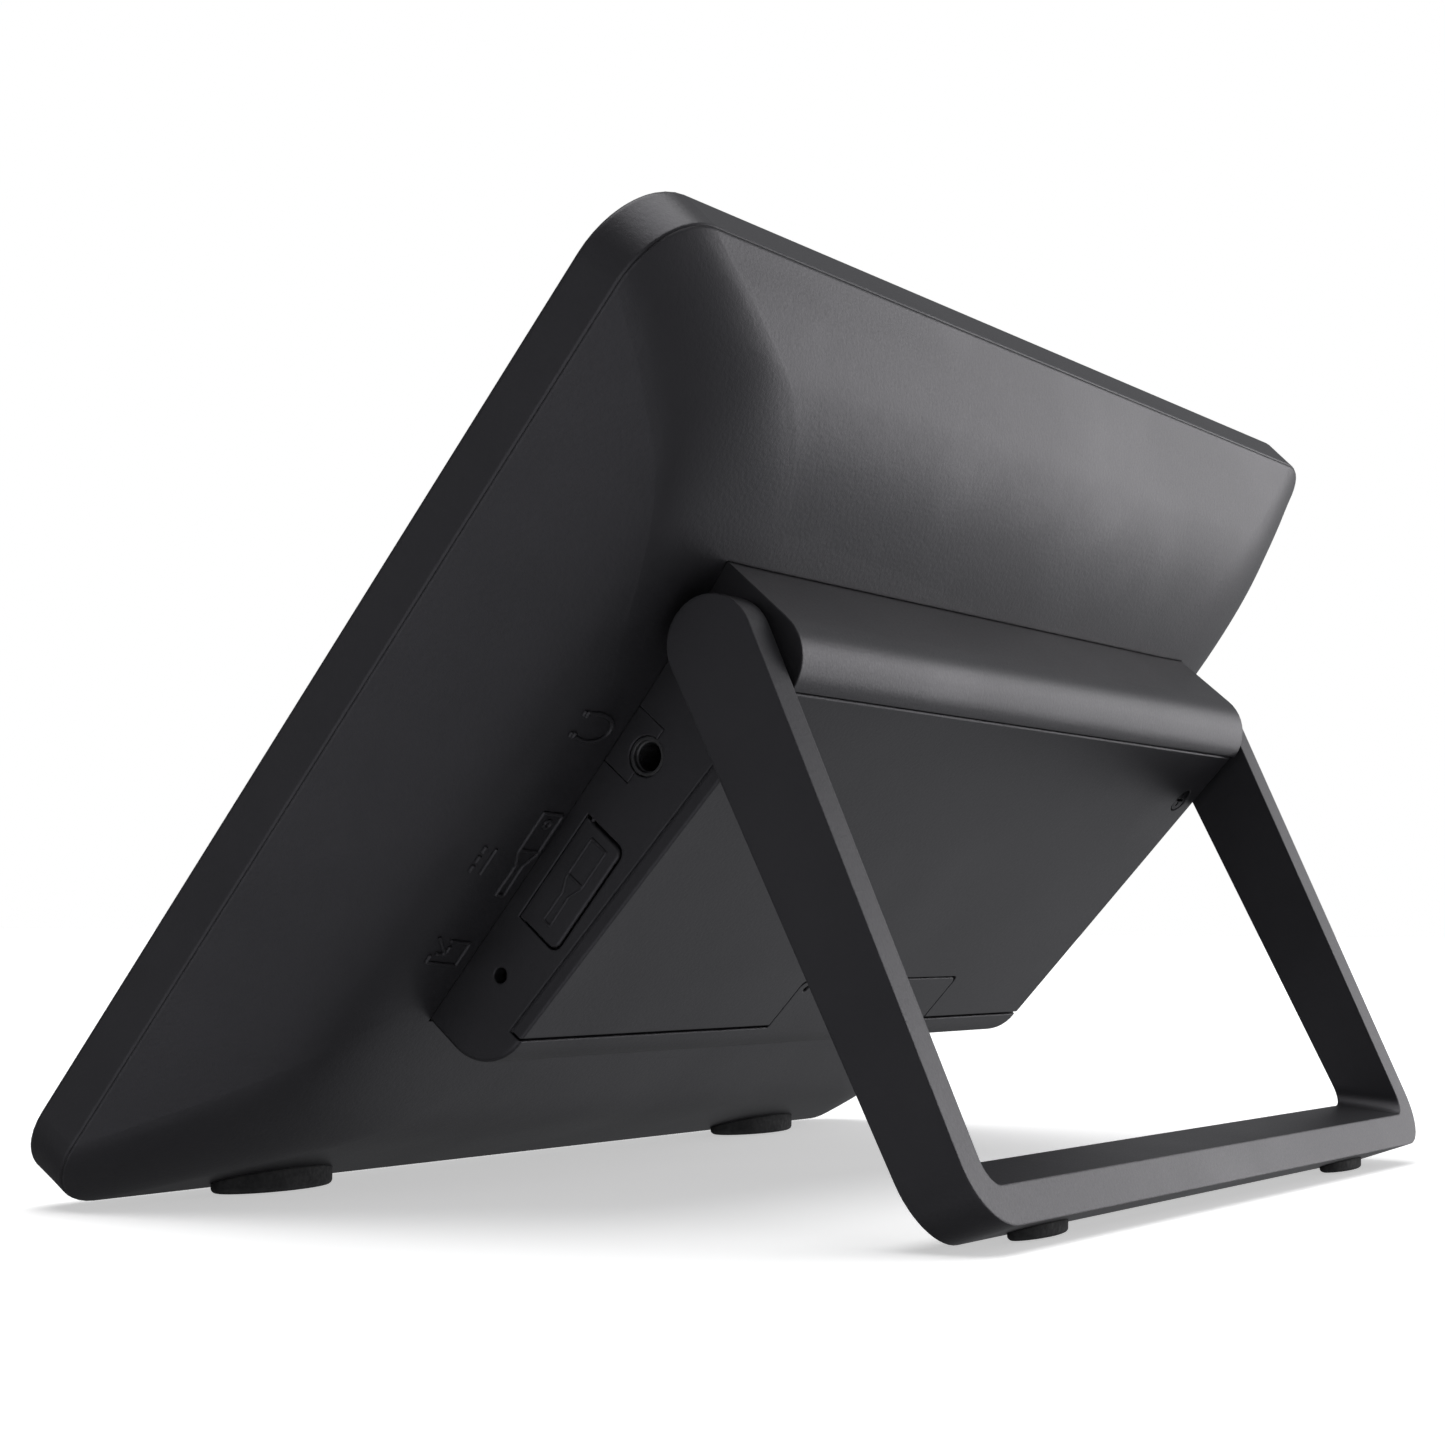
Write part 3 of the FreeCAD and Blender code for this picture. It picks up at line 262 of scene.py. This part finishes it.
FINISHES = {
    "band_plastic": charcoal_plastic("charcoal_band", 0.42),
    "case_plastic": charcoal_plastic("charcoal_case", 0.42),
    "stand_plastic": charcoal_plastic("charcoal_stand", 0.42),
    "screen_glass": screen_glass("screen_glass"),
    "display_panel": glossy_plastic("display_panel", (0.004, 0.005, 0.007), (0.007, 0.008, 0.011), 0.12),
    "clear_plastic": glossy_plastic("light_guide", (0.75, 0.78, 0.8), (0.82, 0.85, 0.86), 0.08, 0.5),
    "white_plastic": moulded_plastic("white_plastic", (0.72, 0.72, 0.7), (0.8, 0.8, 0.78), 0.5),
    "black_tape": moulded_plastic("black_tape", (0.01, 0.01, 0.01), (0.016, 0.016, 0.016), 0.7),
    "plated_steel": metal(
        "plated_steel", (0.52, 0.52, 0.54), (0.62, 0.62, 0.62), 0.32, (60.0, 2500.0, 2500.0)
    ),
    "spring_steel": metal(
        "spring_steel", (0.42, 0.42, 0.44), (0.5, 0.5, 0.51), 0.28, (2500.0, 300.0, 300.0)
    ),
    "black_screw": metal(
        "black_oxide", (0.03, 0.03, 0.034), (0.05, 0.05, 0.055), 0.38, (900.0, 900.0, 900.0)
    ),
    "turned_steel": metal(
        "turned_steel", (0.55, 0.55, 0.56), (0.66, 0.66, 0.67), 0.22, (4000.0, 80.0, 80.0)
    ),
    "bush_brass": metal("bush_brass", (0.5, 0.36, 0.15), (0.6, 0.45, 0.2), 0.3, (4000.0, 80.0, 80.0)),
    "washer_nylon": moulded_plastic("washer_nylon", (0.012, 0.012, 0.013), (0.02, 0.02, 0.021), 0.5),
    "circuit_board": circuit_board("circuit_board"),
    "chip_black": moulded_plastic("chip_epoxy", (0.013, 0.013, 0.014), (0.022, 0.022, 0.023), 0.55),
    "flex_film": glossy_plastic("flex_film", (0.36, 0.15, 0.03), (0.45, 0.2, 0.05), 0.25),
    "jack_plastic": moulded_plastic("jack_nylon", (0.014, 0.014, 0.015), (0.02, 0.02, 0.022), 0.3, 0.25),
    "foot_rubber": rubber("foot_rubber", (0.008, 0.008, 0.009), (0.019, 0.019, 0.02)),
}


def dress_cad_nodes():
    """Gives every CAD node the finish of its material slot."""
    for part in frame["record"]["subparts"]:
        mesh = NODES[part["node"]].data
        finish = FINISHES[part["material_slot"]]
        if not mesh.materials:
            mesh.materials.append(finish)
        for index in range(len(mesh.materials)):
            mesh.materials[index] = finish


# ---------------------------------------------------------------- raised marks, in millimetres
LARGEST_SHOULDER = 0.12
SHOULDER_SHARE = 0.6
FOOT_FLARE = 0.05


def surface_under(node):
    """Finds the point and normal of a CAD node's outer face behind a place on the slab."""
    mesh = NODES[node].data
    corners = [v.co.copy() for v in mesh.vertices]
    faces = [tuple(p.vertices) for p in mesh.polygons]
    tree = BVHTree.FromPolygons(corners, faces)

    def find(x, up):
        point, normal, _, _ = tree.ray_cast(slab(x, BEHIND_SLAB, up), -OUT)
        return point, normal
    return find


def divided_path(points, step=0.25):
    """The path with more points on its straight runs, at most step apart, to follow a curved face."""
    path = []
    for a, b in zip(points, points[1:]):
        a, b = Vector(a), Vector(b)
        count = max(1, math.ceil((b - a).length / step))
        path += [a.lerp(b, i / count) for i in range(count)]
    path.append(Vector(points[-1]))
    return path


def arc(cx, cy, rx, ry, start, end, count=26):
    """Points of an elliptical arc between two angles in degrees."""
    angles = [math.radians(start + (end - start) * i / count) for i in range(count + 1)]
    return [(cx + rx * math.cos(a), cy + ry * math.sin(a)) for a in angles]


def add_ridge(bm, places, width, height, sink=0.35):
    """One raised stroke with chamfered shoulders; places holds (point, normal) pairs."""
    half = width / 2.0
    shoulder = min(LARGEST_SHOULDER, height * SHOULDER_SHARE)
    profile = [
        (-half - FOOT_FLARE, -sink),
        (-half, height - shoulder),
        (-half + shoulder, height),
        (half - shoulder, height),
        (half, height - shoulder),
        (half + FOOT_FLARE, -sink),
    ]
    rings = []
    for index, (point, normal) in enumerate(places):
        before = places[max(index - 1, 0)][0]
        after = places[min(index + 1, len(places) - 1)][0]
        side = (after - before).normalized().cross(normal).normalized()
        rings.append([bm.verts.new(point + (side * s + normal * h) * MM) for s, h in profile])
    count = len(profile)
    for a, b in zip(rings, rings[1:]):
        for i in range(count):
            j = (i + 1) % count
            bm.faces.new((a[i], a[j], b[j], b[i]))
    bm.faces.new(rings[0][::-1])
    bm.faces.new(rings[-1])


def finish_piece(name, bm, finish, body):
    """Turns a bmesh into a piece with a finish, riding on a body."""
    bmesh.ops.recalc_face_normals(bm, faces=bm.faces)
    mesh = bpy.data.meshes.new(name)
    bm.to_mesh(mesh)
    bm.free()
    piece = bpy.data.objects.new(name, mesh)
    bpy.context.scene.collection.objects.link(piece)
    mesh.materials.append(FINISHES[finish])
    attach(piece, body)


def dome_mark(name, strokes, width=0.55, height=0.32):
    """Strokes given as (x, up) points on the slab, raised from the rear cover."""
    find = surface_under("rear_cover")
    bm = bmesh.new()
    for stroke in strokes:
        places = [find(p.x, p.y) for p in divided_path(stroke)]
        add_ridge(bm, places, width, height)
    finish_piece(name, bm, "case_plastic", "frame_body")


def headphone_mark():
    """Headband with two strokes for each ear pad."""
    cx, cy = 75.6, 89.8
    band = arc(cx, cy, 3.3, 2.05, 52.0, 308.0)
    pads = []
    for up in (1.62, -1.62):
        pads.append([(cx + 2.0, cy + up * 1.28), (cx + 2.0, cy + up * 0.72)])
        pads.append([(cx + 2.55, cy + up * 1.22), (cx + 2.55, cy + up * 0.78)])
    dome_mark("mark_headphones", [band] + pads)


def direct_current_mark():
    """A solid line beside a dashed one."""
    solid = [(77.8, 66.4), (77.8, 70.4)]
    dashes = [[(79.5, 66.4 + 1.5 * i), (79.5, 67.4 + 1.5 * i)] for i in range(3)]
    dome_mark("mark_direct_current", [solid] + dashes, 0.5)


def lead_outline(cx, low, top, half_plug, half_lead):
    """Outline of a plug on a short lead, seen from the side."""
    neck = low + (top - low) * 0.52
    waist = low + (top - low) * 0.36
    return [
        (cx - half_plug, top), (cx + half_plug, top), (cx + half_plug, neck),
        (cx + half_lead, waist), (cx + half_lead * 1.2, low), (cx - half_lead * 1.2, low),
        (cx - half_lead, waist), (cx - half_plug, neck), (cx - half_plug, top - 0.05),
    ]


def plug_mark():
    """Plug with a collar and a round eye, on its lead."""
    cx = 72.5
    outline = lead_outline(cx, 63.8, 76.8, 1.75, 0.62)
    collar = [(cx - 1.6, 70.9), (cx + 1.6, 70.9)]
    eye = arc(cx, 75.2, 0.55, 0.55, 0.0, 352.0, 14)
    dome_mark("mark_plug", [outline, collar, eye], 0.45)


def restart_mark():
    """Tray with an arrow dropping into it."""
    left, right, low, top = 72.0, 77.2, 52.3, 56.0
    tray = [(right - 1.6, top), (left, top), (left, low), (right, low), (right, low + 1.2)]
    shaft = [(right + 0.4, top + 0.3), (75.0, 53.8)]
    head = [(76.6, 53.8), (75.0, 53.8), (75.0, 55.2)]
    dome_mark("mark_restart", [tray, shaft, head], 0.45)


def flap_mark():
    """Shallow outline of a plug and lead on the port flap's outer face."""
    outer_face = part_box("port_cover")[1].x
    out_mid = 27.45
    outline = lead_outline(out_mid, 64.6, 77.0, 1.4, 0.55)
    collar = [(out_mid - 1.3, 71.4), (out_mid + 1.3, 71.4)]
    bm = bmesh.new()
    for stroke in (outline, collar):
        places = []
        for p in divided_path(stroke):
            point = slab(0.0, p.x, p.y)
            point.x = outer_face
            places.append((point, ACROSS.copy()))
        add_ridge(bm, places, 0.34, 0.16, 0.15)
    finish_piece("mark_flap", bm, "case_plastic", "port_cover")


# ---------------------------------------------------------------- studio
FLOOR_HALF_SIZE = 9.0
FLOOR_DROP = 0.0002
FLOOR_GLOW = 0.5
OVERHEAD_STRENGTH = 2.3
OVERHEAD_SPREAD_DEG = 60.0
SOFTBOX_AT = (-1.1, 0.62, 0.12)
SOFTBOX_TARGET = (0.0, 0.02, 0.07)
SOFTBOX_SIZE = (0.5, 0.9)
SOFTBOX_WATTS = 5.0
SOFTBOX_TINT = (1.0, 0.985, 1.0)
ROOM_TINT = (0.96, 0.97, 1.0, 1.0)
WHITE = (1.0, 1.0, 1.0, 1.0)
# each glow of the room: direction, cosine where it starts, strength, strength away from it
ROOM_GLOWS = (
    ((-0.85, 0.5, 0.12), 0.1, 0.40, 0.10),
    ((-0.84, 0.3, -0.42), 0.8, 0.18, 0.0),
    ((0.6, 0.4, -0.55), 0.7, 0.95, 0.0),
    ((0.9, -0.45, 0.0), 0.75, 0.28, 0.0),
)


def floor():
    """Pale floor that brightens itself a little, and isn't mirrored in the object."""
    bm = bmesh.new()
    bmesh.ops.create_grid(bm, x_segments=8, y_segments=8, size=FLOOR_HALF_SIZE)
    mesh = bpy.data.meshes.new("floor")
    bm.to_mesh(mesh)
    bm.free()
    plane = bpy.data.objects.new("floor", mesh)
    bpy.context.scene.collection.objects.link(plane)
    t = Tree("pale_floor")
    cloud = t.noise(3.0, 2.0, 0.5)
    tone = t.mix(cloud, (0.84, 0.84, 0.84), (0.87, 0.87, 0.87))
    t.set(Base_Color=tone, Roughness=0.9, Specular_IOR_Level=0.1,
          Emission_Color=(1.0, 1.0, 1.0), Emission_Strength=FLOOR_GLOW)
    mesh.materials.append(t.material)
    plane.location.z = -FLOOR_DROP
    plane.visible_glossy = False


def area_light(name, where, target, width, height, energy, tint):
    """Rectangular lamp that faces its target."""
    data = bpy.data.lights.new(name, "AREA")
    data.shape = "RECTANGLE"
    data.size, data.size_y = width, height
    data.energy = energy
    data.color = tint
    lamp = bpy.data.objects.new(name, data)
    bpy.context.scene.collection.objects.link(lamp)
    lamp.location = where
    aim = Vector(target) - Vector(where)
    lamp.rotation_mode = "QUATERNION"
    lamp.rotation_quaternion = aim.to_track_quat("-Z", "Y")


def sun(name, direction, strength, spread):
    """Distant light with a spread in degrees; a wide one gives soft shadows."""
    data = bpy.data.lights.new(name, "SUN")
    data.energy = strength
    data.angle = math.radians(spread)
    lamp = bpy.data.objects.new(name, data)
    bpy.context.scene.collection.objects.link(lamp)
    lamp.rotation_mode = "QUATERNION"
    lamp.rotation_quaternion = Vector(direction).to_track_quat("-Z", "Y")


def add_glow(nodes, links, coords, direction, start, strength, away):
    """Brightness that rises smoothly towards one direction of the room."""
    dot = nodes.new("ShaderNodeVectorMath")
    dot.operation = "DOT_PRODUCT"
    dot.inputs[1].default_value = Vector(direction).normalized()
    links.new(coords, dot.inputs[0])
    ramp = nodes.new("ShaderNodeMapRange")
    ramp.interpolation_type = "SMOOTHSTEP"
    ramp.inputs["From Min"].default_value = start
    ramp.inputs["From Max"].default_value = 1.0
    ramp.inputs["To Min"].default_value = away
    ramp.inputs["To Max"].default_value = strength
    links.new(dot.outputs["Value"], ramp.inputs["Value"])
    return ramp.outputs["Result"]


def room_brightness(nodes, links):
    """Sum of the room's glows."""
    coords = nodes.new("ShaderNodeTexCoord").outputs["Generated"]
    glows = [add_glow(nodes, links, coords, *glow) for glow in ROOM_GLOWS]
    total = glows[0]
    for glow in glows[1:]:
        added = nodes.new("ShaderNodeMath")
        added.operation = "ADD"
        links.new(total, added.inputs[0])
        links.new(glow, added.inputs[1])
        total = added.outputs[0]
    return total


def studio_world():
    """White backdrop for the camera; for the lighting, a dim room with a few broad soft glows."""
    world = bpy.data.worlds.new("studio")
    bpy.context.scene.world = world
    world.use_nodes = True
    nodes, links = world.node_tree.nodes, world.node_tree.links
    nodes.clear()
    out = nodes.new("ShaderNodeOutputWorld")
    mix = nodes.new("ShaderNodeMixShader")
    seen = nodes.new("ShaderNodeBackground")
    fill = nodes.new("ShaderNodeBackground")
    path = nodes.new("ShaderNodeLightPath")
    seen.inputs["Color"].default_value = WHITE
    seen.inputs["Strength"].default_value = 1.0
    fill.inputs["Color"].default_value = ROOM_TINT
    links.new(room_brightness(nodes, links), fill.inputs["Strength"])
    links.new(path.outputs["Is Camera Ray"], mix.inputs[0])
    links.new(fill.outputs[0], mix.inputs[1])
    links.new(seen.outputs[0], mix.inputs[2])
    links.new(mix.outputs[0], out.inputs["Surface"])


def lights():
    """Broad light from above and a softbox behind the frame."""
    sun("overhead", (0.0, 0.0, -1.0), OVERHEAD_STRENGTH, OVERHEAD_SPREAD_DEG)
    area_light("rear_softbox", SOFTBOX_AT, SOFTBOX_TARGET, *SOFTBOX_SIZE, SOFTBOX_WATTS, SOFTBOX_TINT)


# ---------------------------------------------------------------- camera
CAMERA_AT = Vector((0.33706, 0.19577, 0.03626))
CAMERA_RIGHT = Vector((-0.5388, 0.8424, 0.0051))
CAMERA_FORWARD = Vector((-0.8397, -0.5376, 0.0765))
LENS_MM = 65.79
SENSOR_MM = 36.0


def camera():
    """The photograph's viewing angle."""
    data = bpy.data.cameras.new("camera")
    data.lens = LENS_MM
    data.sensor_width = SENSOR_MM
    data.clip_start = 0.01
    cam = bpy.data.objects.new("camera", data)
    bpy.context.scene.collection.objects.link(cam)
    forward = CAMERA_FORWARD.normalized()
    right = (CAMERA_RIGHT - forward * CAMERA_RIGHT.dot(forward)).normalized()
    upward = right.cross(forward)
    turn = Matrix((right, upward, -forward)).transposed()
    cam.matrix_world = Matrix.Translation(CAMERA_AT) @ turn.to_4x4()
    bpy.context.scene.camera = cam


# ---------------------------------------------------------------- build
dress_cad_nodes()
headphone_mark()
direct_current_mark()
plug_mark()
restart_mark()
flap_mark()
floor()
studio_world()
lights()
camera()
bpy.context.scene.view_settings.view_transform = "Standard"
